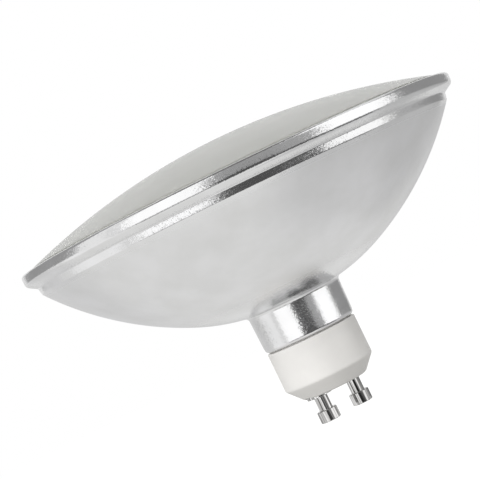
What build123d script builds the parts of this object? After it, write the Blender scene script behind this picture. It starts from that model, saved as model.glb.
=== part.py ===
import os
from math import cos, radians, sin, sqrt, tan

from build123d import *

# Reflector spotlight lamp: a spun aluminium bowl, a domed front glass that its rim is rolled over,
# and a steatite cap with two twist-lock pins. Inside, a halogen capsule stands in the cap.
# Z = 0 is the flat seating face of the cap, +Z points to the front glass, and X runs through both pins.

# Spun reflector: these are sizes of its outer face
rim_diameter = 111.0
rim_top_z = 55.0
sheet = 0.6
rim_band_height = 2.65
rim_roll_radius = 0.75
rim_foot_radius = 1.3
lip_width = 2.7
ledge_angle = 30.5
ledge_length = 2.8
bead_length = 1.75
bead_angle = 77.7
bead_radius = 0.65
bead_root_radius = 0.4
bowl_root_angle = 11.3
bowl_root_length = 2.1
bowl_knee_radius = 48.3
bowl_knee_turn = 12.4
neck_height = 9.5
neck_top_diameter = 23.45
neck_bottom_diameter = 22.9
neck_root_radius = 1.0
neck_curl_radius = 1.1
neck_curl_lap = 1.25
neck_end_gap = 0.2

# Front glass
glass_thickness = 2.0
glass_dome_radius = 158.0
glass_shoulder_gap = 0.2
glass_shoulder_height = 1.05
glass_edge_gap = 0.2
glass_seat_gap = 0.05
glass_foot_depth = 2.4
glass_foot_width = 2.8
glass_edge_round = 0.3

# Ceramic cap
cap_inset = 0.15
cap_height = 13.4
cap_face_diameter = 16.1
cap_chamfer_height = 3.6
cap_face_round = 1.0
cap_top_round = 0.25
cap_floor_z = 8.0
cap_cavity_diameter = 16.4
spigot_height = 9.0
spigot_gap = 0.15
spigot_chamfer = 0.5
pin_recess_gap = 0.3
pin_recess_depth = 0.5

# Contact pins
pin_spacing = 10.0
pin_stem_diameter = 3.3
pin_head_diameter = 5.0
pin_head_height = 2.85
pin_length = 6.65
pin_head_chamfer = 0.15
pin_collar_diameter = 6.4
pin_collar_height = 0.9
pin_hole_gap = 0.1
pin_bore_diameter = 1.2
pin_bore_depth = 11.0
rivet_diameter = 4.8
rivet_height = 0.9
rivet_round = 0.3

# Halogen capsule
capsule_diameter = 13.0
capsule_wall = 1.0
capsule_length = 28.5
capsule_shoulder_radius = 4.5
capsule_crown_radius = 4.4
capsule_crown_rise = 2.2
capsule_tip_diameter = 2.2
capsule_tip_height = 2.6
capsule_tip_root_radius = 1.3
capsule_tip_round = 0.7
pinch_width = 10.0
pinch_thickness = 3.2
pinch_length = 12.0
pinch_floor_gap = 3.1
pinch_sunk = 1.6
pinch_edge_round = 0.8

# Conductors inside the capsule and the cap
lead_spacing = 6.0
foil_width = 2.0
foil_thickness = 0.1
foil_length = 7.5
foil_above_pinch_end = 2.5
foil_lap = 1.6
weld_gap = 0.02
seal_gap = 0.05
lead_diameter = 0.7
outer_lead_drop = 0.9
outer_lead_entry_gap = 0.5
outer_lead_bend_radius = 0.9
outer_lead_depth = 6.5
filament_rise = 12.0
filament_height = 11.5
filament_straight = 1.6
filament_crest = 2.6
filament_diameter = 1.1
filament_bend_radius = 1.2
support_diameter = 0.3
support_hold = 3.0
support_hook_gap = 0.1
support_hook_lap = 0.6
support_bend_radius = 0.45

# Cement that holds the capsule in the cap
cement_depth = 4.5
cement_gap = 0.05
cement_sunk = 0.6

os.makedirs("parts", exist_ok=True)


def polar(start, length, angle):
    """Point of a profile at a length and an angle in degrees from another point."""
    return (start[0] + length * cos(radians(angle)), start[1] + length * sin(radians(angle)))


def finish(piece, name):
    """Label a finished piece and write it under the same name."""
    piece.label = name
    export_step(piece, f"parts/{name}.step")


# Key points of the reflector's outer face as (radius, height)
rim_radius = rim_diameter / 2
rim_corner_top = (rim_radius, rim_top_z)
lip_end = (rim_radius - lip_width, rim_top_z)
rim_corner_bottom = (rim_radius, rim_top_z - rim_band_height)
ledge_foot = polar(rim_corner_bottom, ledge_length, ledge_angle + 180)
bead_foot = polar(ledge_foot, bead_length, bead_angle + 180)
neck_end_z = cap_height + neck_end_gap
neck_bottom_radius = neck_bottom_diameter / 2
curl_end = (neck_bottom_radius - neck_curl_lap, neck_end_z)
neck_bottom = (neck_bottom_radius, neck_end_z)
neck_top = (neck_top_diameter / 2, neck_end_z + neck_height)
bowl_root = polar(neck_top, bowl_root_length, bowl_root_angle)

# One sheet of even thickness, spun to the bowl, curled in at the neck and rolled over the glass.
# Its section is the line of the outer face, thickened inwards: the bowl is a tight knee arc by the
# neck that runs on, tangent, into one long arc up to the bead.
with BuildPart() as reflector_shell:
    with BuildSketch(Plane.XZ):
        with BuildLine() as outer_face:
            FilletPolyline(
                curl_end,
                neck_bottom,
                neck_top,
                bowl_root,
                radius=(neck_curl_radius, neck_root_radius),
            )
            knee = JernArc(
                start=bowl_root,
                tangent=polar((0, 0), 1, bowl_root_angle),
                radius=bowl_knee_radius,
                arc_size=bowl_knee_turn,
            )
            TangentArc(knee @ 1, bead_foot, tangent=knee % 1)
            bead = FilletPolyline(
                bead_foot,
                ledge_foot,
                rim_corner_bottom,
                rim_corner_top,
                lip_end,
                radius=(bead_root_radius, rim_foot_radius, rim_roll_radius),
            )
            fillet(outer_face.vertices().sort_by_distance(bead @ 0)[0], radius=bead_radius)
            offset(amount=sheet, side=Side.LEFT)
        make_face()
    revolve(axis=Axis.Z)
finish(reflector_shell.part, "reflector_shell")

# Front glass: a shallow dome on a thick foot. The foot stands on the rim's sloping ledge, and the
# lip is rolled down on it. The seat's corners lie on a line parallel to the ledge's inner face, and
# the foot is rounded as the sheet is where the ledge turns up into the band.
glass_top_z = rim_top_z - sheet
glass_foot_z = glass_top_z - glass_foot_depth
glass_edge_radius = rim_radius - sheet - glass_edge_gap
glass_foot_radius = lip_end[0] - glass_shoulder_gap
glass_shoulder_z = glass_top_z + glass_shoulder_height
glass_centre_z = glass_shoulder_z - sqrt(glass_dome_radius**2 - glass_foot_radius**2)
glass_inner_radius = glass_dome_radius - glass_thickness
seat_rise = (sheet + glass_seat_gap) / cos(radians(ledge_angle))
seat_slope = tan(radians(ledge_angle))
seat_outer_z = rim_corner_bottom[1] + seat_rise - (rim_radius - glass_edge_radius) * seat_slope
seat_inner_radius = glass_edge_radius - (seat_outer_z - glass_foot_z) / seat_slope
foot_inner_radius = glass_edge_radius - glass_foot_width
foot_inner_top_z = glass_centre_z + sqrt(glass_inner_radius**2 - foot_inner_radius**2)

with BuildPart() as front_lens:
    with BuildSketch(Plane.XZ) as lens_section:
        with BuildLine():
            dome = RadiusArc(
                (0, glass_centre_z + glass_dome_radius),
                (glass_foot_radius, glass_shoulder_z),
                glass_dome_radius,
            )
            Polyline(
                dome @ 1,
                (glass_foot_radius, glass_top_z),
                (glass_edge_radius, glass_top_z),
                (glass_edge_radius, seat_outer_z),
                (seat_inner_radius, glass_foot_z),
                (foot_inner_radius, glass_foot_z),
                (foot_inner_radius, foot_inner_top_z),
            )
            RadiusArc(
                (foot_inner_radius, foot_inner_top_z),
                (0, glass_centre_z + glass_inner_radius),
                -glass_inner_radius,
            )
            Line((0, glass_centre_z + glass_inner_radius), dome @ 0)
        make_face()
        fillet(
            lens_section.vertices().sort_by_distance((glass_foot_radius, glass_shoulder_z))[0],
            radius=glass_edge_round,
        )
        fillet(
            lens_section.vertices().sort_by_distance((glass_edge_radius, seat_outer_z))[0],
            radius=rim_foot_radius - sheet,
        )
    revolve(axis=Axis.Z)
finish(front_lens.part, "front_lens")

# Steatite cap: a chamfered drum below the neck and a hollow spigot inside it. The drum is inset a
# little from the neck's bottom, and the neck's curled end grips a groove under the spigot's shoulder.
# Each pin stands in a shallow round recess that opens through the chamfer.
cap_radius = neck_bottom_radius - cap_inset
groove_radius = curl_end[0] - spigot_gap
groove_top_z = neck_end_z + sheet + spigot_gap
spigot_radius = min(neck_bottom_diameter, neck_top_diameter) / 2 - sheet - spigot_gap
spigot_top_z = cap_height + spigot_height
shoulder_z = groove_top_z + spigot_radius - groove_radius
cavity_radius = cap_cavity_diameter / 2
recess_radius = pin_collar_diameter / 2 + pin_recess_gap
pin_places = Locations((-pin_spacing / 2, 0), (pin_spacing / 2, 0))

with BuildPart() as base_cap:
    with BuildSketch(Plane.XZ) as cap_section:
        with BuildLine():
            Polyline(
                (0, 0),
                (cap_face_diameter / 2, 0),
                (cap_radius, cap_chamfer_height),
                (cap_radius, cap_height),
                (groove_radius, cap_height),
                (groove_radius, groove_top_z),
                (spigot_radius, shoulder_z),
                (spigot_radius, spigot_top_z - spigot_chamfer),
                (spigot_radius - spigot_chamfer, spigot_top_z),
                (cavity_radius, spigot_top_z),
                (cavity_radius, cap_floor_z),
                (0, cap_floor_z),
                close=True,
            )
        make_face()
        fillet(
            cap_section.vertices().sort_by_distance((cap_face_diameter / 2, 0))[0],
            radius=cap_face_round,
        )
        fillet(
            cap_section.vertices().sort_by_distance((cap_radius, cap_height))[0],
            radius=cap_top_round,
        )
        fillet(
            cap_section.vertices().sort_by_distance((cap_radius, cap_chamfer_height))[0],
            radius=cap_face_round,
        )
    revolve(axis=Axis.Z)
    with BuildSketch(Plane.XY):
        with pin_places:
            Circle(recess_radius)
    extrude(amount=pin_recess_depth, mode=Mode.SUBTRACT)
    with BuildSketch(Plane.XY.offset(pin_recess_depth)):
        with pin_places:
            Circle(pin_stem_diameter / 2 + pin_hole_gap)
    extrude(amount=cap_floor_z - pin_recess_depth, mode=Mode.SUBTRACT)
finish(base_cap.part, "base_cap")

# Contact pins: turned studs with a locking head, a collar that seats in the recess, a stem through
# the cap's floor, and a tail riveted over inside. A blind bore takes the lead.
pin_radius = pin_stem_diameter / 2
head_radius = pin_head_diameter / 2
collar_radius = pin_collar_diameter / 2
head_top_z = pin_head_height - pin_length
collar_bottom_z = pin_recess_depth - pin_collar_height
rivet_top_z = cap_floor_z + rivet_height
bore_radius = pin_bore_diameter / 2
bore_end_z = rivet_top_z - pin_bore_depth

for side, hand in ((-1, "left"), (1, "right")):
    pin_centre = (side * pin_spacing / 2, 0, 0)
    with BuildPart() as contact_pin:
        with BuildSketch(Plane.XZ.shift_origin(pin_centre)) as pin_section:
            with BuildLine():
                Polyline(
                    (0, -pin_length),
                    (head_radius - pin_head_chamfer, -pin_length),
                    (head_radius, pin_head_chamfer - pin_length),
                    (head_radius, head_top_z - pin_head_chamfer),
                    (head_radius - pin_head_chamfer, head_top_z),
                    (pin_radius, head_top_z),
                    (pin_radius, collar_bottom_z),
                    (collar_radius, collar_bottom_z),
                    (collar_radius, pin_recess_depth),
                    (pin_radius, pin_recess_depth),
                    (pin_radius, cap_floor_z),
                    (rivet_diameter / 2, cap_floor_z),
                    (rivet_diameter / 2, rivet_top_z),
                    (bore_radius, rivet_top_z),
                    (bore_radius, bore_end_z),
                    (0, bore_end_z),
                    close=True,
                )
            make_face()
            fillet(
                pin_section.vertices().group_by(Axis.Y)[-1].sort_by(Axis.X)[-1],
                radius=rivet_round,
            )
        revolve(axis=Axis(pin_centre, (0, 0, 1)))
    finish(contact_pin.part, f"contact_pin_{hand}")

# Quartz capsule: a thin-walled tube closed by a crown with the sealed pumping tip, and flattened at its
# foot into a pinch that ends above the rivets. The chamber's section runs parallel to the outer one. Each
# conductor has its own channel through the pinch: the foil's pocket, and a lead's bore up to the chamber
# and down to the end.
pinch_end_z = rivet_top_z + pinch_floor_gap
capsule_shoulder_z = pinch_end_z + pinch_length
filament_start_z = capsule_shoulder_z + filament_rise
capsule_radius = capsule_diameter / 2
chamber_radius = capsule_radius - capsule_wall
chamber_floor_z = capsule_shoulder_z + capsule_wall
crown_z = capsule_shoulder_z + capsule_length
tip_radius = capsule_tip_diameter / 2
tip_root_z = crown_z + capsule_crown_rise
tip_top_z = tip_root_z + capsule_tip_height
crown_slope = capsule_crown_rise / (capsule_radius - tip_radius)
crown_wall_rise = capsule_wall * sqrt(1 + crown_slope**2)
chamber_crown_z = crown_z + capsule_wall * crown_slope - crown_wall_rise
chamber_top_z = chamber_crown_z + chamber_radius * crown_slope
foil_bottom_z = pinch_end_z + foil_above_pinch_end
foil_top_z = foil_bottom_z + foil_length
lead_radius = lead_diameter / 2
foil_y = -(lead_radius + weld_gap + foil_thickness / 2)
inner_lead_foot_z = foil_top_z - foil_lap
outer_lead_top_z = foil_bottom_z + foil_lap
support_radius = support_diameter / 2
support_foot_z = chamber_floor_z - support_hold
lead_places = Locations((-lead_spacing / 2, 0), (lead_spacing / 2, 0))

with BuildPart() as capsule_glass:
    with BuildSketch(Plane.XZ):
        with BuildLine():
            FilletPolyline(
                (0, capsule_shoulder_z),
                (capsule_radius, capsule_shoulder_z),
                (capsule_radius, crown_z),
                (tip_radius, tip_root_z),
                (tip_radius, tip_top_z),
                (0, tip_top_z),
                radius=(
                    capsule_shoulder_radius,
                    capsule_crown_radius,
                    capsule_tip_root_radius,
                    capsule_tip_round,
                ),
            )
            Line((0, tip_top_z), (0, capsule_shoulder_z))
        make_face()
    revolve(axis=Axis.Z)
    with BuildSketch(Plane.XY.offset(pinch_end_z)):
        RectangleRounded(pinch_width, pinch_thickness, pinch_edge_round)
    extrude(amount=pinch_length + pinch_sunk)
    with BuildSketch(Plane.XZ):
        with BuildLine():
            FilletPolyline(
                (0, chamber_floor_z),
                (chamber_radius, chamber_floor_z),
                (chamber_radius, chamber_crown_z),
                (0, chamber_top_z),
                radius=(
                    capsule_shoulder_radius - capsule_wall,
                    capsule_crown_radius - capsule_wall,
                ),
            )
            Line((0, chamber_top_z), (0, chamber_floor_z))
        make_face()
    revolve(axis=Axis.Z, mode=Mode.SUBTRACT)
    with BuildSketch(Plane.XY.offset(foil_bottom_z - seal_gap)):
        with Locations((-lead_spacing / 2, foil_y), (lead_spacing / 2, foil_y)):
            Rectangle(foil_width + 2 * seal_gap, foil_thickness + 2 * seal_gap)
    extrude(amount=foil_length + 2 * seal_gap, mode=Mode.SUBTRACT)
    with BuildSketch(Plane.XY.offset(inner_lead_foot_z - seal_gap)):
        with lead_places:
            Circle(lead_radius + seal_gap)
    extrude(amount=filament_start_z - inner_lead_foot_z, mode=Mode.SUBTRACT)
    with BuildSketch(Plane.XY.offset(pinch_end_z)):
        with lead_places:
            Circle(lead_radius + seal_gap)
    extrude(amount=outer_lead_top_z + seal_gap - pinch_end_z, mode=Mode.SUBTRACT)
    with BuildSketch(Plane.XY.offset(support_foot_z - seal_gap)):
        Circle(support_radius + seal_gap)
    extrude(amount=filament_start_z - support_foot_z, mode=Mode.SUBTRACT)
finish(capsule_glass.part, "capsule_glass")

# Conductors of each side: the molybdenum foil sealed in the pinch, the inner lead that carries the
# filament, and the outer lead that bends out and runs down the pin's bore
outer_lead_bend_z = pinch_end_z - outer_lead_drop
bore_entry_z = rivet_top_z + outer_lead_entry_gap
outer_lead_end_z = rivet_top_z - outer_lead_depth

for side, hand in ((-1, "left"), (1, "right")):
    lead_x = side * lead_spacing / 2
    pin_x = side * pin_spacing / 2
    with BuildPart() as foil:
        with BuildSketch(Plane.XY.offset(foil_bottom_z)):
            with Locations((lead_x, foil_y)):
                Rectangle(foil_width, foil_thickness)
        extrude(amount=foil_length)
    finish(foil.part, f"pinch_foil_{hand}")

    with BuildPart() as inner_lead:
        with BuildSketch(Plane.XY.offset(inner_lead_foot_z)):
            with Locations((lead_x, 0)):
                Circle(lead_radius)
        extrude(amount=filament_start_z - inner_lead_foot_z)
    finish(inner_lead.part, f"inner_lead_{hand}")

    with BuildPart() as outer_lead:
        with BuildLine(Plane.XZ):
            lead_path = FilletPolyline(
                (lead_x, outer_lead_top_z),
                (lead_x, outer_lead_bend_z),
                (pin_x, bore_entry_z),
                (pin_x, outer_lead_end_z),
                radius=outer_lead_bend_radius,
            )
        with BuildSketch(Plane(lead_path @ 0, z_dir=lead_path % 0)):
            Circle(lead_radius)
        sweep()
    finish(outer_lead.part, f"outer_lead_{hand}")

# Filament: the coil's outer form, one tube that stands on both inner leads and is hung over its
# support at the crest
filament_x = lead_spacing / 2
filament_radius = filament_diameter / 2
crest_z = filament_start_z + filament_height

with BuildPart() as filament:
    with BuildLine(Plane.XZ):
        coil_path = FilletPolyline(
            (-filament_x, filament_start_z),
            (-filament_x, filament_start_z + filament_straight),
            (-filament_crest / 2, crest_z),
            (filament_crest / 2, crest_z),
            (filament_x, filament_start_z + filament_straight),
            (filament_x, filament_start_z),
            radius=filament_bend_radius,
        )
    with BuildSketch(Plane(coil_path @ 0, z_dir=coil_path % 0)):
        Circle(filament_radius)
    sweep()
finish(filament.part, "filament")

# Filament support: a wire from the pinch that steps aside of the crest and hooks over it
hook_y = filament_radius + support_hook_gap + support_radius
hook_z = crest_z + hook_y
side_step_z = crest_z - hook_y

with BuildPart() as filament_support:
    with BuildLine(Plane.YZ):
        wire_path = FilletPolyline(
            (0, support_foot_z),
            (0, side_step_z - hook_y),
            (hook_y, side_step_z),
            (hook_y, hook_z),
            (-support_hook_lap, hook_z),
            radius=support_bend_radius,
        )
    with BuildSketch(Plane(wire_path @ 0, z_dir=wire_path % 0)):
        Circle(support_radius)
    sweep()
finish(filament_support.part, "filament_support")

# Cement: a disc cast around the pinch, a little below the spigot's mouth
cement_top_z = spigot_top_z - cement_sunk

with BuildPart() as base_cement:
    with BuildSketch(Plane.XY.offset(cement_top_z)):
        Circle(cavity_radius - cement_gap)
        RectangleRounded(
            pinch_width + 2 * cement_gap,
            pinch_thickness + 2 * cement_gap,
            pinch_edge_round + cement_gap,
            mode=Mode.SUBTRACT,
        )
    extrude(amount=-cement_depth)
finish(base_cement.part, "base_cement")
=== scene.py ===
# %% [markdown]
# # A reflector spotlight lamp in spun aluminium, satin glass and steatite
# The CAD frame holds every piece at its real size. This script gives the lamp its looks: the spun bowl,
# the front glass, the contact pins and the filament are made again as fine meshes, and the other pieces
# keep their CAD mesh and get a material. Everything is in metres, +Z points to the front glass, and
# Z = 0 is the flat seating face of the ceramic cap.

import math

import bmesh
import bpy
from mathutils import Matrix, Vector


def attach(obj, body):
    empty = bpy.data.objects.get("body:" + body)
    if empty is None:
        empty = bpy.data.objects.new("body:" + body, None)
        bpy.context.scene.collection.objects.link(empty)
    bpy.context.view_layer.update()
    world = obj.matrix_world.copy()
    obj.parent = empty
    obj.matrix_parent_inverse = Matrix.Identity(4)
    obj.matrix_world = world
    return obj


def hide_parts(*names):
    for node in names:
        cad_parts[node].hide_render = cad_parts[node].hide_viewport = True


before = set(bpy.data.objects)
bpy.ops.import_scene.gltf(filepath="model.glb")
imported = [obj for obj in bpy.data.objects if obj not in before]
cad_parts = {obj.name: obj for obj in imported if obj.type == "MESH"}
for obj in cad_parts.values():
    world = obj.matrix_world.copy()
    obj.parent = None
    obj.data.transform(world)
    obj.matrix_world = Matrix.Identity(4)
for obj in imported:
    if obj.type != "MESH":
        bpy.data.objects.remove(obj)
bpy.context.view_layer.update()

# %% [markdown]
# ## Units, colours and one helper for nodes
# Sizes of the lamp are written in millimetres, as a drawing gives them, and `mm` turns them to metres.
# Colours are written as sRGB hex values, as a colour picker shows them, and `linear` turns them to the
# linear values that shaders work in. `add_node` adds any node, of a shader or of Geometry Nodes, sets its
# own options, and fills its inputs with plain values or with the outputs of other nodes.

# %% Units, colours, nodes


def mm(*lengths):
    """Millimetres to metres, one number or a tuple of them."""
    metres = tuple(length / 1000 for length in lengths)
    return metres[0] if len(metres) == 1 else metres


def linear(hex_code):
    """An sRGB colour such as "#E3E3E1" as linear red, green, blue and alpha."""
    channels = (int(hex_code[i : i + 2], 16) / 255 for i in (1, 3, 5))
    return (*(c / 12.92 if c <= 0.04045 else ((c + 0.055) / 1.055) ** 2.4 for c in channels), 1.0)


def add_node(tree, kind, options=None, inputs=None):
    """Adds a node, sets its options, and fills its inputs with values or links."""
    made = tree.nodes.new(kind)
    for name, value in (options or {}).items():
        setattr(made, name, value)
    for name, value in (inputs or {}).items():
        if isinstance(value, bpy.types.NodeSocket):
            tree.links.new(value, made.inputs[name])
        else:
            made.inputs[name].default_value = value
    return made


# %% [markdown]
# ## The camera
# The photograph was taken with a long lens from about the height of the bowl, and the lamp leans to the
# left in it. So the camera stands level with the bowl, far enough off for the rim's ellipse to stay that
# narrow, and it is rolled about its own axis. The lamp itself stays upright in its own frame. Leaning the
# lamp would give the same picture, but a piece that leans no longer fits the CAD frame.

# %% Camera
camera_azimuth = math.radians(-31.2)
camera_distance = mm(420)
camera_height = mm(37)
camera_roll = math.radians(25.81)
aim_left = mm(5.33)
aim_height = mm(40.74)
lens_length = 133.17
sensor_width = 36.0

to_camera = Vector((math.sin(camera_azimuth), -math.cos(camera_azimuth), 0))
to_right = Vector((math.cos(camera_azimuth), math.sin(camera_azimuth), 0))
upright = Vector((0, 0, 1))

camera_data = bpy.data.cameras.new("photo_camera")
camera_data.lens = lens_length
camera_data.sensor_width = sensor_width
camera = bpy.data.objects.new("photo_camera", camera_data)
bpy.context.scene.collection.objects.link(camera)

stand_point = to_camera * camera_distance + upright * camera_height
aim_point = to_right * -aim_left + upright * aim_height
forward = (aim_point - stand_point).normalized()
level_right = forward.cross(upright).normalized()
level_up = level_right.cross(forward)
rolled_up = level_up * math.cos(camera_roll) + level_right * math.sin(camera_roll)
rolled_right = forward.cross(rolled_up)
turn = Matrix((rolled_right, rolled_up, -forward)).transposed()
camera.matrix_world = Matrix.Translation(stand_point) @ turn.to_4x4()
bpy.context.scene.camera = camera
bpy.context.scene.view_settings.view_transform = "Standard"
print("camera at, mm:", [round(1000 * c, 1) for c in stand_point])

# %% [markdown]
# ## The studio
# The lamp hangs over a plain pale floor. What the camera, a reflection or the glass sees of the floor and
# of the air around is white paper, while the light that falls on the lamp is kept at a plain level, so
# that colours render about as they are written. `Light Path` tells those rays apart.

# %% Floor and air
floor_height = mm(-300)
floor_radius = 6.0
paper_white = 1.0
paper_in_reflections = 0.87
light_from_air = 0.82
floor_paint = linear("#A6A6A4")
floor_lift_for_camera = 0.8
floor_lift_for_reflections = 0.47


def seen_rays(tree):
    """Outputs that are 1 for camera rays, and for rays that come by a reflection or through glass."""
    path = add_node(tree, "ShaderNodeLightPath")
    by_reflection = add_node(
        tree,
        "ShaderNodeMath",
        {"operation": "MAXIMUM"},
        {0: path.outputs["Is Glossy Ray"], 1: path.outputs["Is Transmission Ray"]},
    )
    return path.outputs["Is Camera Ray"], by_reflection.outputs[0]


def by_ray(tree, for_camera, for_reflections, for_light):
    """A strength that differs for what the camera sees, what reflections see, and what gives light."""
    camera_ray, reflected_ray = seen_rays(tree)
    reflected = add_node(
        tree,
        "ShaderNodeMix",
        {"data_type": "FLOAT"},
        {"Factor": reflected_ray, "A": for_light, "B": for_reflections},
    )
    seen = add_node(
        tree,
        "ShaderNodeMix",
        {"data_type": "FLOAT"},
        {"Factor": camera_ray, "A": reflected.outputs["Result"], "B": for_camera},
    )
    return seen.outputs["Result"]


air = bpy.data.worlds.new("studio_air")
air.use_nodes = True
air.node_tree.nodes.clear()
air_light = add_node(
    air.node_tree,
    "ShaderNodeBackground",
    inputs={
        "Color": (1, 1, 1, 1),
        "Strength": by_ray(air.node_tree, paper_white, paper_in_reflections, light_from_air),
    },
)
add_node(air.node_tree, "ShaderNodeOutputWorld", inputs={"Surface": air_light.outputs[0]})
air.cycles.sampling_method = "NONE"
bpy.context.scene.world = air

paper = bpy.data.materials.new("white_studio_paper")
paper.use_nodes = True
paper.node_tree.nodes.clear()
paper_face = add_node(paper.node_tree, "ShaderNodeBsdfDiffuse", inputs={"Color": floor_paint})
paper_lift = add_node(
    paper.node_tree,
    "ShaderNodeEmission",
    inputs={
        "Strength": by_ray(paper.node_tree, floor_lift_for_camera, floor_lift_for_reflections, 0.0)
    },
)
paper_sum = add_node(
    paper.node_tree, "ShaderNodeAddShader", inputs={0: paper_face.outputs[0], 1: paper_lift.outputs[0]}
)
add_node(paper.node_tree, "ShaderNodeOutputMaterial", inputs={"Surface": paper_sum.outputs[0]})
paper.cycles.emission_sampling = "NONE"

bpy.ops.mesh.primitive_circle_add(
    vertices=96, radius=floor_radius, fill_type="NGON", location=(0, 0, floor_height)
)
floor = bpy.context.active_object
floor.name = "paper_floor"
floor.data.materials.append(paper)
print("floor at, mm:", 1000 * floor_height)

# %% [markdown]
# ## Soft light
# One large soft box stands to the camera's left and gives the cap its shading from left to right. A sun
# would do that too, but with a hard edge between light and shade. The box is hidden from reflections,
# because bare metal shows each lamp as a picture: what the metal shows is set by cards instead, as a
# photographer does it.

# %% Soft box
key_azimuth = math.radians(-31)
key_elevation = math.radians(25)
key_distance = 0.9
key_side = 0.7
key_watts = 3.9


def around_lamp(azimuth, distance, height):
    """A point round the lamp. Azimuth 0 is towards the camera, and it grows to the camera's right."""
    level = to_camera * math.cos(azimuth) + to_right * math.sin(azimuth)
    return level * distance + upright * height


key_data = bpy.data.lights.new("soft_box", "AREA")
key_data.size = key_side
key_data.energy = key_watts
soft_box = bpy.data.objects.new("soft_box", key_data)
bpy.context.scene.collection.objects.link(soft_box)
soft_box.location = around_lamp(
    key_azimuth, key_distance * math.cos(key_elevation), key_distance * math.sin(key_elevation)
)
soft_box.rotation_euler = soft_box.location.to_track_quat("Z", "Y").to_euler()
soft_box.visible_camera = False
soft_box.visible_glossy = False
soft_box.visible_transmission = False
print("soft box watts:", key_watts)

# %% [markdown]
# ## Cards for the metal
# Polished and satin metal has no colour of its own beyond a tint: it shows what stands round it. The
# neck and the rim in the photograph show two bright soft boxes with a dark gap between them, grey walls
# further round, and a dim ceiling in the lip over the glass. The dark smudge over the neck is the floor
# seen in the metal. Its shade, dark in front of the boxes and paler beside the lamp, is painted shade:
# grey and dark cards that lie on the floor. More lamps could make such reflections, but they would light
# the cap and the glass too. So each is a card, bent round the lamp between two azimuths, that only
# reflections see: it gives no light and no shadow, and no view shows it.
#
# A card's profile is a line of (radius, height) points in metres. It stands, lies on the floor, or sweeps
# from the floor up. The neck sees the low part of what stands there, and the rim sees the high part, so
# some cards end at the height where those two part, and another shade goes on above.

# %% Profiles of cards
card_reach = 1.0
card_foot = -0.29
card_top = 1.9
neck_sees_below = -0.01
wall_skirting = -0.12
wall_top = 0.9
back_horizon = 0.02
near_axis = 0.02
sweep_start = 0.5
box_sweep_start = 0.72
floor_middle = 0.33
wall_floor_start = 0.34


def standing(low=card_foot, high=card_top):
    """Profile of a card that stands at full reach."""
    return ((card_reach, low), (card_reach, high))


def lying(inner, outer=card_reach):
    """Profile of a card that lies on the floor."""
    return ((inner, card_foot), (outer, card_foot))


def sweeping(inner, high=card_top):
    """Profile of a card that comes along the floor and then stands up."""
    return ((inner, card_foot), *standing(high=high))


# %% Cards
card_steps = 24
cards = (
    # The cards that lie on the floor are painted shade: grey and dark patches of floor that only
    # reflections see.
    ("back_left_card", -160, -118, sweeping(sweep_start, neck_sees_below), 0.72),
    ("low_fill_card", -104, -88, sweeping(sweep_start, neck_sees_below), 1.02),
    ("left_wall_card", -150, -88, standing(neck_sees_below), 0.36),
    ("left_fill_card", -88, -68, sweeping(sweep_start), 1.02),
    ("left_seam_card", -66, -59, sweeping(sweep_start), 0.8),
    ("left_light_card", -57, -14, sweeping(box_sweep_start), 1.3),
    ("left_foot_shade_card", -57, -14, lying(0.4, box_sweep_start), 0.38),
    ("dark_gap_card", -12, 22, sweeping(0.38, neck_sees_below), 0.09),
    ("grey_sky_card", -12, 22, standing(neck_sees_below), 0.38),
    ("grey_gap_card", 22, 43, standing(), 0.42),
    ("floor_shade_card", 22, 47, lying(0.4), 0.1),
    ("right_edge_card", 44, 47, standing(), 1.3),
    ("right_light_card", 47, 86, sweeping(box_sweep_start), 1.3),
    ("right_foot_shade_card", 47, 86, lying(floor_middle, box_sweep_start), 0.16),
    ("right_floor_shade_card", 34, 86, lying(near_axis, floor_middle), 0.66),
    ("grey_wall_card", 92, 152, standing(wall_skirting, wall_top), 0.32),
    ("wall_foot_card", 92, 152, standing(high=wall_skirting), 0.5),
    ("grey_floor_shade_card", 86, 138, lying(0.08, wall_floor_start), 0.72),
    ("far_floor_shade_card", 86, 152, lying(wall_floor_start), 0.58),
    ("back_card", 154, 198, standing(high=back_horizon), 0.7),
    ("back_light_card", 154, 198, standing(back_horizon), 0.85),
    ("ceiling_card", -180, 180, ((near_axis, card_top), (card_reach, card_top)), 0.16),
)


def stand_card(name, from_azimuth, to_azimuth, profile, shade):
    """A card bent round the lamp between two azimuths in degrees, with one profile and one even shade."""
    azimuths = [
        math.radians(from_azimuth + (to_azimuth - from_azimuth) * i / card_steps)
        for i in range(card_steps + 1)
    ]
    points = [around_lamp(a, *edge) for a in azimuths for edge in profile]
    rows = len(profile)
    faces = [
        (rows * i + k, rows * i + k + 1, rows * (i + 1) + k + 1, rows * (i + 1) + k)
        for i in range(card_steps)
        for k in range(rows - 1)
    ]
    mesh = bpy.data.meshes.new(name)
    mesh.from_pydata(points, [], faces)
    material = bpy.data.materials.new(name)
    material.use_nodes = True
    material.node_tree.nodes.clear()
    glow = add_node(
        material.node_tree, "ShaderNodeEmission", inputs={"Color": (1, 1, 1, 1), "Strength": shade}
    )
    add_node(material.node_tree, "ShaderNodeOutputMaterial", inputs={"Surface": glow.outputs[0]})
    material.cycles.emission_sampling = "NONE"
    mesh.materials.append(material)
    card = bpy.data.objects.new(name, mesh)
    bpy.context.scene.collection.objects.link(card)
    card.visible_camera = False
    card.visible_diffuse = False
    card.visible_transmission = False
    card.visible_shadow = False
    return card


for card_facts in cards:
    stand_card(*card_facts)
print("cards:", [facts[0] for facts in cards])

# %% [markdown]
# ## Materials
# Each material starts from what the real surface is. `new_material` makes a Principled shader from plain
# values, and gives back its tree and its shader. `grained` adds an even grain as bump, `mottled` lets a
# colour or a roughness drift between two values in soft patches, and `soft_step` leads softly from one
# value to another. Grain and patches have sizes in millimetres and read Object coordinates, so they stay
# on the piece. Where a real grain is finer than the picture can show, it is drawn coarser, and the text
# says so.

# %% Material helpers


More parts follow.
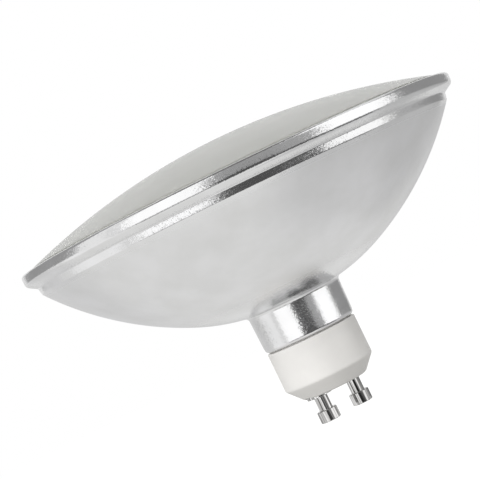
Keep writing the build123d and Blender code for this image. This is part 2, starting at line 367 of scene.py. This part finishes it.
def new_material(name, colour, **surface):
    """A material with a Principled shader set from an sRGB colour and plain values."""
    material = bpy.data.materials.new(name)
    material.use_nodes = True
    tree = material.node_tree
    tree.nodes.clear()
    inputs = {"Base Color": linear(colour)}
    inputs.update({key.replace("_", " ").title().replace("Ior", "IOR"): v for key, v in surface.items()})
    shader = add_node(tree, "ShaderNodeBsdfPrincipled", inputs=inputs)
    add_node(tree, "ShaderNodeOutputMaterial", inputs={"Surface": shader.outputs[0]})
    return material, tree, shader


def grained(tree, shader, size, depth, detail=2.0, along=None):
    """Adds noise of one grain size as bump to a shader. `along` is the vector it reads."""
    place = along or add_node(tree, "ShaderNodeTexCoord").outputs["Object"]
    noise = add_node(
        tree,
        "ShaderNodeTexNoise",
        inputs={"Vector": place, "Scale": 1 / size, "Detail": detail, "Roughness": 0.6},
    )
    bump = add_node(
        tree, "ShaderNodeBump", inputs={"Height": noise.outputs["Fac"], "Distance": depth}
    )
    if shader.inputs["Normal"].is_linked:
        before = shader.inputs["Normal"].links[0].from_socket
        tree.links.new(before, bump.inputs["Normal"])
    tree.links.new(bump.outputs[0], shader.inputs["Normal"])
    return noise


def mottled(tree, shader, socket, low, high, size, detail=3.0, along=None):
    """Lets one of the shader's inputs drift between two values or two sRGB colours in soft patches."""
    place = along or add_node(tree, "ShaderNodeTexCoord").outputs["Object"]
    noise = add_node(
        tree, "ShaderNodeTexNoise", inputs={"Vector": place, "Scale": 1 / size, "Detail": detail}
    )
    share = add_node(
        tree,
        "ShaderNodeMapRange",
        inputs={"Value": noise.outputs["Fac"], "From Min": 0.3, "From Max": 0.7},
    )
    if isinstance(low, str):
        blend = add_node(
            tree,
            "ShaderNodeMix",
            {"data_type": "RGBA"},
            {"Factor": share.outputs[0], 6: linear(low), 7: linear(high)},
        )
        tree.links.new(blend.outputs[2], shader.inputs[socket])
    else:
        blend = add_node(
            tree,
            "ShaderNodeMapRange",
            inputs={"Value": share.outputs[0], "To Min": low, "To Max": high},
        )
        tree.links.new(blend.outputs[0], shader.inputs[socket])
    return noise


def soft_step(tree, value, from_value, to_value, low=0.0, high=1.0):
    """Goes from low to high while a value goes between two others."""
    step = add_node(
        tree,
        "ShaderNodeMapRange",
        {"interpolation_type": "SMOOTHSTEP"},
        {"Value": value, "From Min": from_value, "From Max": to_value, "To Min": low, "To Max": high},
    )
    return step.outputs[0]


# %% [markdown]
# ### Spun aluminium
# The reflector is bare aluminium sheet, pressed over a former while it spins and then brightened by a mild
# etch. The neck and the rim are rolled once more, which burnishes them, while the wide bowl keeps a fine,
# even satin. One material does both: its roughness follows the height, with a soft step at each end of the
# bowl. Two materials would leave a hard line where they meet, and the sheet has none.

# %% Spun aluminium
sheet_patch = mm(9)
rolled_roughness = 0.16
bowl_roughness = 0.33
bowl_foot_heights = mm(25, 29)
bowl_rim_heights = mm(49.3, 47.5)

spun_aluminium, tree, shader = new_material("spun_aluminium_etched", "#E2E2E0", metallic=1.0)
mottled(tree, shader, "Base Color", "#DEDEDE", "#E7E7E8", sheet_patch)
place = add_node(tree, "ShaderNodeTexCoord").outputs["Object"]
axes = add_node(tree, "ShaderNodeSeparateXYZ", inputs={0: place})
above_foot = soft_step(tree, axes.outputs[2], *bowl_foot_heights)
below_rim = soft_step(tree, axes.outputs[2], *bowl_rim_heights)
in_bowl = add_node(
    tree, "ShaderNodeMath", {"operation": "MULTIPLY"}, {0: above_foot, 1: below_rim}
).outputs[0]
roughness = soft_step(tree, in_bowl, 0.0, 1.0, rolled_roughness, bowl_roughness)
tree.links.new(roughness, shader.inputs["Roughness"])
print("material:", spun_aluminium.name)

# %% [markdown]
# The etch bares the metal's crystals. Each is a tiny facet with its own tilt, so a reflection keeps its
# place but breaks up into specks at its edges, as on the neck and the rim in the photograph. A plain bump
# would blur the whole reflection. Here each cell of a Voronoi pattern adds its own random tilt to the
# normal, and the third power keeps most cells nearly flat and tilts a few of them far. Rolling stretches
# the crystals, so they tilt more on the neck and the rim than on the bowl.

# %% Crystals of the sheet
crystal_size = mm(0.16)
rolled_tilt = 0.6
bowl_tilt = 0.2

crystal_tilt = soft_step(tree, in_bowl, 0.0, 1.0, rolled_tilt, bowl_tilt)
crystals = add_node(
    tree, "ShaderNodeTexVoronoi", inputs={"Vector": place, "Scale": 1 / crystal_size}
)
centred = add_node(
    tree,
    "ShaderNodeVectorMath",
    {"operation": "SUBTRACT"},
    {0: crystals.outputs["Color"], 1: (0.5, 0.5, 0.5)},
)
squared = add_node(
    tree, "ShaderNodeVectorMath", {"operation": "MULTIPLY"}, {0: centred.outputs[0], 1: centred.outputs[0]}
)
cubed = add_node(
    tree, "ShaderNodeVectorMath", {"operation": "MULTIPLY"}, {0: squared.outputs[0], 1: centred.outputs[0]}
)
tilt = add_node(
    tree, "ShaderNodeVectorMath", {"operation": "SCALE"}, {0: cubed.outputs[0], "Scale": crystal_tilt}
)
smooth_normal = add_node(tree, "ShaderNodeNewGeometry").outputs["Normal"]
tilted = add_node(
    tree, "ShaderNodeVectorMath", {"operation": "ADD"}, {0: smooth_normal, 1: tilt.outputs[0]}
)
facet = add_node(tree, "ShaderNodeVectorMath", {"operation": "NORMALIZE"}, {0: tilted.outputs[0]})
tree.links.new(facet.outputs[0], shader.inputs["Normal"])
print("crystals, mm:", 1000 * crystal_size)

# %% [markdown]
# Faint rings run round the axis, where the roller went over the sheet. They are a fine bump that depends on
# the distance from the axis and on the height alone, so it is the same all the way round. A picture of
# rings would need a seam, and this has none.

# %% Roller rings
roller_ring_width = mm(0.8)
roller_ring_depth = mm(0.0012)

flat = add_node(tree, "ShaderNodeCombineXYZ", inputs={0: axes.outputs[0], 1: axes.outputs[1]})
radius = add_node(tree, "ShaderNodeVectorMath", {"operation": "LENGTH"}, {0: flat.outputs[0]})
ring_place = add_node(
    tree, "ShaderNodeCombineXYZ", inputs={0: radius.outputs["Value"], 2: axes.outputs[2]}
)
grained(tree, shader, roller_ring_width, roller_ring_depth, 1.0, ring_place.outputs[0])
print("roller rings, mm:", 1000 * roller_ring_width)

# %% [markdown]
# ### Satin glass
# The front is pressed glass, etched until it is satin. It lets light and a soft picture of the bowl's
# inside through, and scatters the rest, so it looks like a pale grey-green skin. It could be clear glass
# with a rough surface, but that shows too much of the inside. So it is part transmission and part diffuse,
# with glass's own refraction, and a coat that brightens where the dome turns away from the eye. The etch's
# real grain is a few hundredths of a millimetre, too fine to show, and is drawn about ten times as coarse.

# %% Satin glass
glass_patch = mm(14)
etch_grain = mm(0.35)
etch_depth = mm(0.006)

satin_glass, tree, shader = new_material(
    "pressed_glass_satin_etched",
    "#E2E3DE",
    roughness=0.5,
    ior=1.5,
    transmission_weight=0.62,
    coat_weight=0.8,
    coat_roughness=0.2,
)
mottled(tree, shader, "Base Color", "#D7D8D1", "#DDDED8", glass_patch)
grained(tree, shader, etch_grain, etch_depth)
print("material:", satin_glass.name)

# %% [markdown]
# ### Steatite
# The cap is steatite, a dense soapstone ceramic, pressed as powder, fired white and left unglazed. It is
# smooth and slightly waxy, with a soft highlight and a faint grain from the powder. A glaze would be a coat
# with sharp highlights, and the cap shows none. The powder's grain is drawn coarser than it is, to show.

# %% Steatite
cap_patch = mm(6)
waxy_patch = mm(1.5)
powder_grain = mm(0.4)
powder_depth = mm(0.004)

steatite, tree, shader = new_material("steatite_fired_unglazed", "#F2F0ED", ior=1.55)
mottled(tree, shader, "Base Color", "#F1EFEC", "#F6F4F1", cap_patch)
mottled(tree, shader, "Roughness", 0.36, 0.5, waxy_patch)
grained(tree, shader, powder_grain, powder_depth)
print("material:", steatite.name)

# %% [markdown]
# ### Nickel plate
# The pins are turned from drawn brass rod and have a bright nickel plate. Nickel is a warm grey metal. The
# drawing leaves lines along the rod, which the plate follows. The sharp black and white streaks along the
# pins' length are reflections, and here they are painted: the base colour drifts from near black to white
# in streaks along the rod, a painted reflection. Anisotropy would only stretch the highlight, so the lines
# are drawn as bump and the streaks as painted colour, by noise that is stretched along the rod. Real lines
# are a few hundredths of a millimetre wide, and these are drawn as coarse as they need to show.

# %% Nickel plate
plate_patch = mm(1.2)
drawn_line = mm(0.5)
drawn_line_depth = mm(0.035)
along_rod = (1, 1, 0.04)

nickel_plate, tree, shader = new_material("turned_brass_nickel_plated", "#D0CDC8", metallic=1.0)
mottled(tree, shader, "Roughness", 0.05, 0.11, plate_patch)
place = add_node(tree, "ShaderNodeTexCoord").outputs["Object"]
stretched = add_node(
    tree, "ShaderNodeVectorMath", {"operation": "MULTIPLY"}, {0: place, 1: along_rod}
)
grained(tree, shader, drawn_line, drawn_line_depth, 1.0, stretched.outputs[0])
# Painted reflection: the base colour drifts from near black to white in streaks along the rod.
mottled(tree, shader, "Base Color", "#5A5957", "#F6F5F4", drawn_line, 2.0, stretched.outputs[0])
print("material:", nickel_plate.name)

# %% [markdown]
# ### Quartz
# The capsule is clear fused quartz, blown and pinched shut in a flame, so it has a fire-polished, glossy
# skin that can be seen right through. It is all transmission and almost no roughness, at quartz's own
# refraction, which is lower than that of common glass.

# %% Quartz
blown_patch = mm(3)

quartz, tree, shader = new_material("fused_quartz_clear", "#FAFBFC", ior=1.458, transmission_weight=1.0)
mottled(tree, shader, "Roughness", 0.01, 0.04, blown_patch)
print("material:", quartz.name)

# %% [markdown]
# ### Molybdenum, tungsten and cement
# Leads, hook and foils are drawn and rolled molybdenum, a satin metal of a darker grey. The filament is
# drawn tungsten wire, darker again and duller, because it has glowed. Each is a plain metal with a drifting
# roughness, which is all that the satin glass lets through of them. The cement that holds the capsule is a
# matt, sandy, off-white paste.

# %% Molybdenum, tungsten, cement
wire_patch = mm(0.5)
wire_grain = mm(0.08)
wire_grain_depth = mm(0.001)
filament_patch = mm(0.2)
cement_patch = mm(1.0)
sand_grain = mm(0.35)
sand_depth = mm(0.03)

molybdenum, tree, shader = new_material("molybdenum_drawn", "#B4B3B1", metallic=1.0)
mottled(tree, shader, "Roughness", 0.28, 0.42, wire_patch)
grained(tree, shader, wire_grain, wire_grain_depth)

tungsten, tree, shader = new_material("tungsten_wire", "#8E8C89", metallic=1.0)
mottled(tree, shader, "Roughness", 0.35, 0.5, filament_patch)

cement, tree, shader = new_material("capsule_cement", "#D2CDC2", roughness=0.92)
mottled(tree, shader, "Base Color", "#C6C1B5", "#DBD7CE", cement_patch)
grained(tree, shader, sand_grain, sand_depth, 3.0)
print("materials:", molybdenum.name, tungsten.name, cement.name)

# %% [markdown]
# ## Outlines
# A spun, pressed or turned piece is one section turned about the axis. Its outline is a run of corners,
# some of them rounded. `rounded_line` works out the points: an arc for each rounded corner, and points
# along the straight runs, so that the turned mesh has even faces. `bent_line` adds an arc that leaves a
# point in a given direction. All outlines are (radius, height) in millimetres.

# %% Outline helpers
arc_step = math.radians(9)
longest_run = 1.2


def heading(start, end):
    """Direction from one point to another, as an angle."""
    return math.atan2(end[1] - start[1], end[0] - start[0])


def polar(start, length, angle):
    """Point at a length and an angle from another point."""
    return (start[0] + length * math.cos(angle), start[1] + length * math.sin(angle))


def bent_line(start, angle, radius, turn_angle):
    """Points of an arc that leaves start at an angle and turns left by another one."""
    centre = polar(start, radius, angle + math.pi / 2)
    count = max(2, math.ceil(abs(radius * turn_angle) / longest_run))
    steps = (turn_angle * (i + 1) / count for i in range(count))
    return [polar(centre, radius, angle - math.pi / 2 + step) for step in steps]


def rounded_line(corners):
    """Points of a line through corners. A corner with a third number is rounded to that radius."""
    line = []
    last = len(corners) - 1
    for i, corner in enumerate(corners):
        if len(corner) == 2 or i in (0, last):
            line.append(corner[:2])
            continue
        arriving = heading(corners[i - 1], corner)
        leaving = heading(corner, corners[i + 1])
        turned_by = (leaving - arriving + math.pi) % (2 * math.pi) - math.pi
        cut = corner[2] * math.tan(abs(turned_by) / 2)
        first = polar(corner, cut, arriving + math.pi)
        side = math.copysign(math.pi / 2, turned_by)
        centre = polar(first, corner[2], arriving + side)
        count = max(2, math.ceil(abs(turned_by) / arc_step))
        line += [
            polar(centre, corner[2], arriving - side + turned_by * step / count)
            for step in range(count + 1)
        ]
    filled = [line[0]]
    for start, end in zip(line, line[1:]):
        parts = math.ceil(math.dist(start, end) / longest_run)
        filled += [
            tuple(s + (e - s) * (k + 1) / parts for s, e in zip(start, end)) for k in range(parts)
        ]
    return filled


def thickened(line, thickness):
    """Closed section of a sheet: a line and a parallel one on its left."""
    inner = []
    for i, point in enumerate(line):
        angles = [heading(line[k], line[k + 1]) for k in (i - 1, i) if 0 <= k < len(line) - 1]
        spread = (angles[-1] - angles[0] + math.pi) % (2 * math.pi) - math.pi
        middle = angles[0] + spread / 2
        inner.append(polar(point, thickness / math.cos(spread / 2), middle + math.pi / 2))
    return line + inner[::-1]


# %% [markdown]
# ## A lathe in Geometry Nodes
# The bowl, the glass and the pins all follow one rule: a section goes round an axis. So one tree makes
# them all. It lays the section flat, sweeps it along a guide circle, welds the points that meet on the
# axis, moves the result to its own axis, and gives it its finish. The same could be done with a Screw
# modifier, but the tree keeps the rule, its sizes and its finish in one place, and any other lamp part can
# use it.

# %% The lathe tree


def start_tree(name, sizes):
    """A Geometry Nodes tree with named inputs, and its input node."""
    tree = bpy.data.node_groups.new(name, "GeometryNodeTree")
    tree.interface.new_socket("Geometry", in_out="OUTPUT", socket_type="NodeSocketGeometry")
    tree.interface.new_socket("Section", in_out="INPUT", socket_type="NodeSocketGeometry")
    for size_name, kind in sizes:
        tree.interface.new_socket(size_name, in_out="INPUT", socket_type=kind)
    return tree, add_node(tree, "NodeGroupInput")


def end_tree(tree, shape, finish):
    """Smooth shading, real geometry and the finish, which every tree ends with."""
    smooth = add_node(tree, "GeometryNodeSetShadeSmooth", inputs={"Geometry": shape})
    real = add_node(tree, "GeometryNodeRealizeInstances", inputs={"Geometry": smooth.outputs[0]})
    finished = add_node(
        tree, "GeometryNodeSetMaterial", inputs={"Geometry": real.outputs[0], "Material": finish}
    )
    add_node(tree, "NodeGroupOutput", inputs={"Geometry": finished.outputs[0]})


lathe, sizes = start_tree(
    "lathe",
    (
        ("Steps Around", "NodeSocketInt"),
        ("Guide Radius", "NodeSocketFloat"),
        ("Weld Distance", "NodeSocketFloat"),
        ("Axis X", "NodeSocketFloat"),
        ("Finish", "NodeSocketMaterial"),
    ),
)
guide = add_node(
    lathe,
    "GeometryNodeCurvePrimitiveCircle",
    inputs={"Resolution": sizes.outputs["Steps Around"], "Radius": sizes.outputs["Guide Radius"]},
)
inwards = add_node(
    lathe, "ShaderNodeMath", {"operation": "MULTIPLY"}, {0: sizes.outputs["Guide Radius"], 1: -1.0}
)
to_guide = add_node(lathe, "ShaderNodeCombineXYZ", inputs={"X": inwards.outputs[0]})
laid_flat = add_node(
    lathe,
    "GeometryNodeTransform",
    inputs={
        "Geometry": sizes.outputs["Section"],
        "Rotation": (math.radians(90), 0, 0),
        "Translation": to_guide.outputs[0],
    },
)
outline = add_node(lathe, "GeometryNodeMeshToCurve", inputs={"Mesh": laid_flat.outputs[0]})
swept = add_node(
    lathe,
    "GeometryNodeCurveToMesh",
    inputs={"Curve": guide.outputs[0], "Profile Curve": outline.outputs[0]},
)
welded = add_node(
    lathe,
    "GeometryNodeMergeByDistance",
    inputs={"Geometry": swept.outputs[0], "Distance": sizes.outputs["Weld Distance"]},
)
to_axis = add_node(lathe, "ShaderNodeCombineXYZ", inputs={"X": sizes.outputs["Axis X"]})
placed = add_node(
    lathe,
    "GeometryNodeTransform",
    inputs={"Geometry": welded.outputs[0], "Translation": to_axis.outputs[0]},
)
end_tree(lathe, placed.outputs[0], sizes.outputs["Finish"])
print("lathe nodes:", len(lathe.nodes))

# %% [markdown]
# `grow` runs a tree on a line of points and keeps the result as a plain mesh, with its faces turned
# outwards. A corner of more than 30 degrees that has no round of its own stays a sharp edge. `turned` runs
# the lathe on a section in millimetres, and `takes_place` says which CAD node a piece stands for.

# %% Run a tree
sharp_corner = math.radians(30)
guide_radius = 10.0
weld_distance = 0.001


def grow(name, tree, points, closed, **inputs):
    """Runs a tree on a line of points and gives back a plain mesh object at the origin."""
    edges = [(i, i + 1) for i in range(len(points) - 1)]
    if closed:
        edges.append((len(points) - 1, 0))
    line = bpy.data.meshes.new(name + "_line")
    line.from_pydata(points, edges, [])
    holder = bpy.data.objects.new(name + "_line", line)
    bpy.context.scene.collection.objects.link(holder)
    modifier = holder.modifiers.new("grow", "NODES")
    modifier.node_group = tree
    sockets = {item.name: item.identifier for item in tree.interface.items_tree}
    for key, value in inputs.items():
        modifier[sockets[key.replace("_", " ").title()]] = value
    graph = bpy.context.evaluated_depsgraph_get()
    mesh = bpy.data.meshes.new_from_object(holder.evaluated_get(graph))
    bpy.data.objects.remove(holder)
    solid = bmesh.new()
    solid.from_mesh(mesh)
    bmesh.ops.recalc_face_normals(solid, faces=solid.faces)
    for edge in solid.edges:
        edge.smooth = edge.calc_face_angle(0) < sharp_corner
    solid.to_mesh(mesh)
    solid.free()
    mesh.name = name
    piece = bpy.data.objects.new(name, mesh)
    bpy.context.scene.collection.objects.link(piece)
    print(name, "faces:", len(mesh.polygons))
    return piece


def turned(name, section, finish, steps, axis_x=0.0):
    """Turns a closed section of (radius, height) points in millimetres about an axis."""
    points = [(mm(r), 0.0, mm(z)) for r, z in section]
    return grow(
        name,
        lathe,
        points,
        True,
        steps_around=steps,
        guide_radius=mm(guide_radius),
        weld_distance=mm(weld_distance),
        axis_x=mm(axis_x),
        finish=finish,
    )


def takes_place(piece, node):
    """The piece stands for a CAD node: it moves with the lamp, and the CAD node is hidden."""
    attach(piece, "root")
    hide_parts(node)


# %% [markdown]
# ## The spun reflector
# The bowl, the stepped rim, the lip rolled over the glass and the neck that is curled into the cap's
# groove are one sheet of aluminium, 0.6 mm thick. So it is drawn as one line, the outer face, from the
# curl up to the lip, and thickened inwards. A tight root leads out of the neck into a wide knee, one long
# arc makes the bowl, and a small bead and a sloping ledge carry the upright band of the rim. A bowl and a
# rim from two pieces would show a joint, and the real sheet has none.

# %% Reflector outline
sheet_thickness = 0.6
rim_radius = 55.5
rim_top = 55.0
rim_band = 2.65
rim_roll = 0.75
rim_foot_round = 1.3
lip_width = 2.7
ledge_angle = math.radians(30.5)
ledge_length = 2.8
bead_angle = math.radians(77.7)
bead_length = 1.75
bead_round = 0.65
bead_root_round = 0.4
root_angle = math.radians(11.3)
root_length = 2.1
knee_radius = 48.3
knee_turn = math.radians(12.4)
neck_end = 13.6
neck_height = 9.5
neck_top_radius = 11.725
neck_bottom_radius = 11.45
neck_root_round = 1.0
neck_curl_round = 1.1
neck_curl_lap = 1.25

lip_end = (rim_radius - lip_width, rim_top)
rim_corner_top = (rim_radius, rim_top, rim_roll)
rim_corner_bottom = (rim_radius, rim_top - rim_band, rim_foot_round)
ledge_foot = (*polar(rim_corner_bottom, ledge_length, ledge_angle + math.pi), bead_root_round)
bead_foot = (*polar(ledge_foot, bead_length, bead_angle + math.pi), bead_round)
curl_end = (neck_bottom_radius - neck_curl_lap, neck_end)
neck_bottom = (neck_bottom_radius, neck_end, neck_curl_round)
neck_top = (neck_top_radius, neck_end + neck_height, neck_root_round)
bowl_root = polar(neck_top, root_length, root_angle)

knee = bent_line(bowl_root, root_angle, knee_radius, knee_turn)
knee_end_angle = root_angle + knee_turn
bowl_chord = math.dist(knee[-1], bead_foot[:2])
bowl_turn = 2 * (heading(knee[-1], bead_foot) - knee_end_angle)
bowl_radius = bowl_chord / (2 * math.sin(bowl_turn / 2))
bowl = bent_line(knee[-1], knee_end_angle, bowl_radius, bowl_turn)[:-1]
outer_face = rounded_line(
    [
        curl_end,
        neck_bottom,
        neck_top,
        bowl_root,
        *knee,
        *bowl,
        bead_foot,
        ledge_foot,
        rim_corner_bottom,
        rim_corner_top,
        lip_end,
    ]
)
print("bowl arc radius, mm:", round(bowl_radius, 1), "points:", len(outer_face))

# %% Reflector
shell_steps = 300

reflector_shell = turned(
    "spun_reflector", thickened(outer_face, sheet_thickness), spun_aluminium, steps=shell_steps
)
takes_place(reflector_shell, "reflector_shell")

# %% [markdown]
# ## The front glass
# The glass is a shallow dome, 2 mm thick, on a thicker foot that stands on the ledge inside the rim. The
# aluminium lip is rolled down on its shoulder. The dome could be cut from a sphere, but its foot would
# still have to be joined on. So the lathe turns dome and foot as one section, and the dome's circle is
# worked out from its radius and the height of its shoulder.

# %% Front glass
glass_thickness = 2.0
dome_radius = 158.0
shoulder_gap = 0.2
shoulder_height = 1.05
edge_gap = 0.2
seat_gap = 0.05
foot_depth = 2.4
foot_width = 2.8
glass_round = 0.3
dome_points = 48
glass_steps = 240

glass_top = rim_top - sheet_thickness
glass_foot = glass_top - foot_depth
glass_edge = rim_radius - sheet_thickness - edge_gap
dome_foot = lip_end[0] - shoulder_gap
dome_foot_height = glass_top + shoulder_height
dome_centre = dome_foot_height - math.sqrt(dome_radius**2 - dome_foot**2)
seat_rise = (sheet_thickness + seat_gap) / math.cos(ledge_angle)
seat_slope = math.tan(ledge_angle)
seat_outer = rim_corner_bottom[1] + seat_rise - (rim_radius - glass_edge) * seat_slope
seat_inner_radius = glass_edge - (seat_outer - glass_foot) / seat_slope
foot_inner_radius = glass_edge - foot_width


def dome_line(radius, foot):
    """Points of a dome's section from near its top out to its foot."""
    reach = math.asin(foot / radius)
    angles = [reach * (i + 1) / dome_points for i in range(dome_points)]
    return [(radius * math.sin(a), dome_centre + radius * math.cos(a)) for a in angles]


outside = dome_line(dome_radius, dome_foot)
inside = dome_line(dome_radius - glass_thickness, foot_inner_radius)
glass_section = rounded_line(
    [
        (0, dome_centre + dome_radius),
        *outside[:-1],
        (*outside[-1], glass_round),
        (dome_foot, glass_top),
        (glass_edge, glass_top),
        (glass_edge, seat_outer, rim_foot_round - sheet_thickness),
        (seat_inner_radius, glass_foot),
        (foot_inner_radius, glass_foot),
        *inside[::-1],
        (0, dome_centre + dome_radius - glass_thickness),
    ]
)
front_glass = turned("domed_front_glass", glass_section, satin_glass, steps=glass_steps)
takes_place(front_glass, "front_lens")

# %% [markdown]
# ## The contact pins
# Each pin is a turned stud: a wide head that locks in the lampholder, a thinner stem, a collar that seats
# in the ceramic, and a tail riveted over inside the cap. A stack of cylinders would have the same sizes but
# none of the chamfers that catch the light. So both pins come from one section with all its chamfers and
# its bore, turned about each pin's own axis.

# %% Contact pins
pin_spacing = 10.0
pin_radius = 1.65
head_radius = 2.5
head_height = 2.85
pin_length = 6.65
head_chamfer = 0.15
head_round = 0.08
collar_radius = 3.2
collar_height = 0.9
recess_depth = 0.5
cap_floor = 8.0
rivet_radius = 2.4
rivet_height = 0.9
rivet_round = 0.3
bore_radius = 0.6
bore_depth = 11.0
pin_steps = 96

pin_section = rounded_line(
    [
        (0, -pin_length),
        (head_radius - head_chamfer, -pin_length, head_round),
        (head_radius, head_chamfer - pin_length, head_round),
        (head_radius, head_height - pin_length - head_chamfer, head_round),
        (head_radius - head_chamfer, head_height - pin_length, head_round),
        (pin_radius, head_height - pin_length),
        (pin_radius, recess_depth - collar_height),
        (collar_radius, recess_depth - collar_height, head_round),
        (collar_radius, recess_depth),
        (pin_radius, recess_depth),
        (pin_radius, cap_floor),
        (rivet_radius, cap_floor),
        (rivet_radius, cap_floor + rivet_height, rivet_round),
        (bore_radius, cap_floor + rivet_height),
        (bore_radius, cap_floor + rivet_height - bore_depth),
        (0, cap_floor + rivet_height - bore_depth),
    ]
)
for side, hand in ((-1, "left"), (1, "right")):
    pin = turned(
        f"turned_pin_{hand}", pin_section, nickel_plate, steps=pin_steps, axis_x=side * pin_spacing / 2
    )
    takes_place(pin, f"contact_pin_{hand}")

# %% [markdown]
# ## The filament
# The frame holds the filament as the tube that its coil fills. The real one is a wire wound in close turns
# and hung in an arch between the leads. A helix could be bent with a Curve modifier, but its turns would
# open and close at the bends. So a second tree winds it in place: it walks along the arch and steps aside
# by the coil's radius, in a direction that turns with every step, and gives that line a wire's thickness.

# %% The winding tree
coil, sizes = start_tree(
    "wind_wire",
    (
        ("Turns", "NodeSocketInt"),
        ("Steps Per Turn", "NodeSocketInt"),
        ("Coil Radius", "NodeSocketFloat"),
        ("Wire Radius", "NodeSocketFloat"),
        ("Wire Sides", "NodeSocketInt"),
        ("Finish", "NodeSocketMaterial"),
    ),
)
arch = add_node(coil, "GeometryNodeMeshToCurve", inputs={"Mesh": sizes.outputs["Section"]})
step_count = add_node(
    coil,
    "ShaderNodeMath",
    {"operation": "MULTIPLY"},
    {0: sizes.outputs["Turns"], 1: sizes.outputs["Steps Per Turn"]},
)
stepped = add_node(
    coil, "GeometryNodeResampleCurve", inputs={"Curve": arch.outputs[0], "Count": step_count.outputs[0]}
)
along = add_node(coil, "GeometryNodeSplineParameter")
full_turn = add_node(
    coil, "ShaderNodeMath", {"operation": "MULTIPLY"}, {0: sizes.outputs["Turns"], 1: math.tau}
)
angle = add_node(
    coil, "ShaderNodeMath", {"operation": "MULTIPLY"}, {0: along.outputs["Factor"], 1: full_turn.outputs[0]}
)
tangent = add_node(coil, "GeometryNodeInputTangent")
across = add_node(
    coil, "ShaderNodeVectorMath", {"operation": "CROSS_PRODUCT"}, {0: tangent.outputs[0], 1: (0, 1, 0)}
)
aside = add_node(
    coil,
    "ShaderNodeVectorRotate",
    {"rotation_type": "AXIS_ANGLE"},
    {"Vector": across.outputs[0], "Axis": tangent.outputs[0], "Angle": angle.outputs[0]},
)
offset = add_node(
    coil,
    "ShaderNodeVectorMath",
    {"operation": "SCALE"},
    {0: aside.outputs[0], "Scale": sizes.outputs["Coil Radius"]},
)
wound = add_node(
    coil, "GeometryNodeSetPosition", inputs={"Geometry": stepped.outputs[0], "Offset": offset.outputs[0]}
)
wire_section = add_node(
    coil,
    "GeometryNodeCurvePrimitiveCircle",
    inputs={"Resolution": sizes.outputs["Wire Sides"], "Radius": sizes.outputs["Wire Radius"]},
)
wire = add_node(
    coil,
    "GeometryNodeCurveToMesh",
    inputs={"Curve": wound.outputs[0], "Profile Curve": wire_section.outputs[0], "Fill Caps": True},
)
end_tree(coil, wire.outputs[0], sizes.outputs["Finish"])

# %% [markdown]
# The arch stands on the two leads with short upright feet, leans in over two long legs and ends in a short
# level crest, with each corner rounded. The number of turns follows from its length and the pitch.

# %% Filament
arch_half_width = 3.0
arch_start = 36.0
arch_height = 11.5
arch_straight = 1.6
arch_crest = 1.3
arch_round = 1.2
coil_radius = 0.55
wire_radius = 0.1
turn_pitch = 0.36
steps_per_turn = 16
wire_sides = 8

arch_line = rounded_line(
    [
        (-arch_half_width, arch_start),
        (-arch_half_width, arch_start + arch_straight, arch_round),
        (-arch_crest, arch_start + arch_height, arch_round),
        (arch_crest, arch_start + arch_height, arch_round),
        (arch_half_width, arch_start + arch_straight, arch_round),
        (arch_half_width, arch_start),
    ]
)
arch_length = sum(math.dist(a, b) for a, b in zip(arch_line, arch_line[1:]))
turn_count = round(arch_length / turn_pitch)
print("arch, mm:", round(arch_length, 1), "turns:", turn_count)
filament = grow(
    "wound_filament",
    coil,
    [(mm(x), 0.0, mm(z)) for x, z in arch_line],
    False,
    turns=turn_count,
    steps_per_turn=steps_per_turn,
    coil_radius=mm(coil_radius - wire_radius),
    wire_radius=mm(wire_radius),
    wire_sides=wire_sides,
    finish=tungsten,
)
takes_place(filament, "filament")

# %% [markdown]
# ## Pieces that keep their CAD mesh
# The cap, the capsule, its leads, hook and foils, and the cement have their true shape in the frame
# already. Making them again would only risk another shape, so they get their material in place of the
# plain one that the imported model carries.

# %% Dress the other nodes
dress = {
    "base_cap": steatite,
    "base_cement": cement,
    "capsule_glass": quartz,
    "filament_support": molybdenum,
    "inner_lead_left": molybdenum,
    "inner_lead_right": molybdenum,
    "outer_lead_left": molybdenum,
    "outer_lead_right": molybdenum,
    "pinch_foil_left": molybdenum,
    "pinch_foil_right": molybdenum,
}
for node_name, material in dress.items():
    for material_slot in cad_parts[node_name].material_slots:
        material_slot.material = material
print("dressed:", len(dress), "nodes")
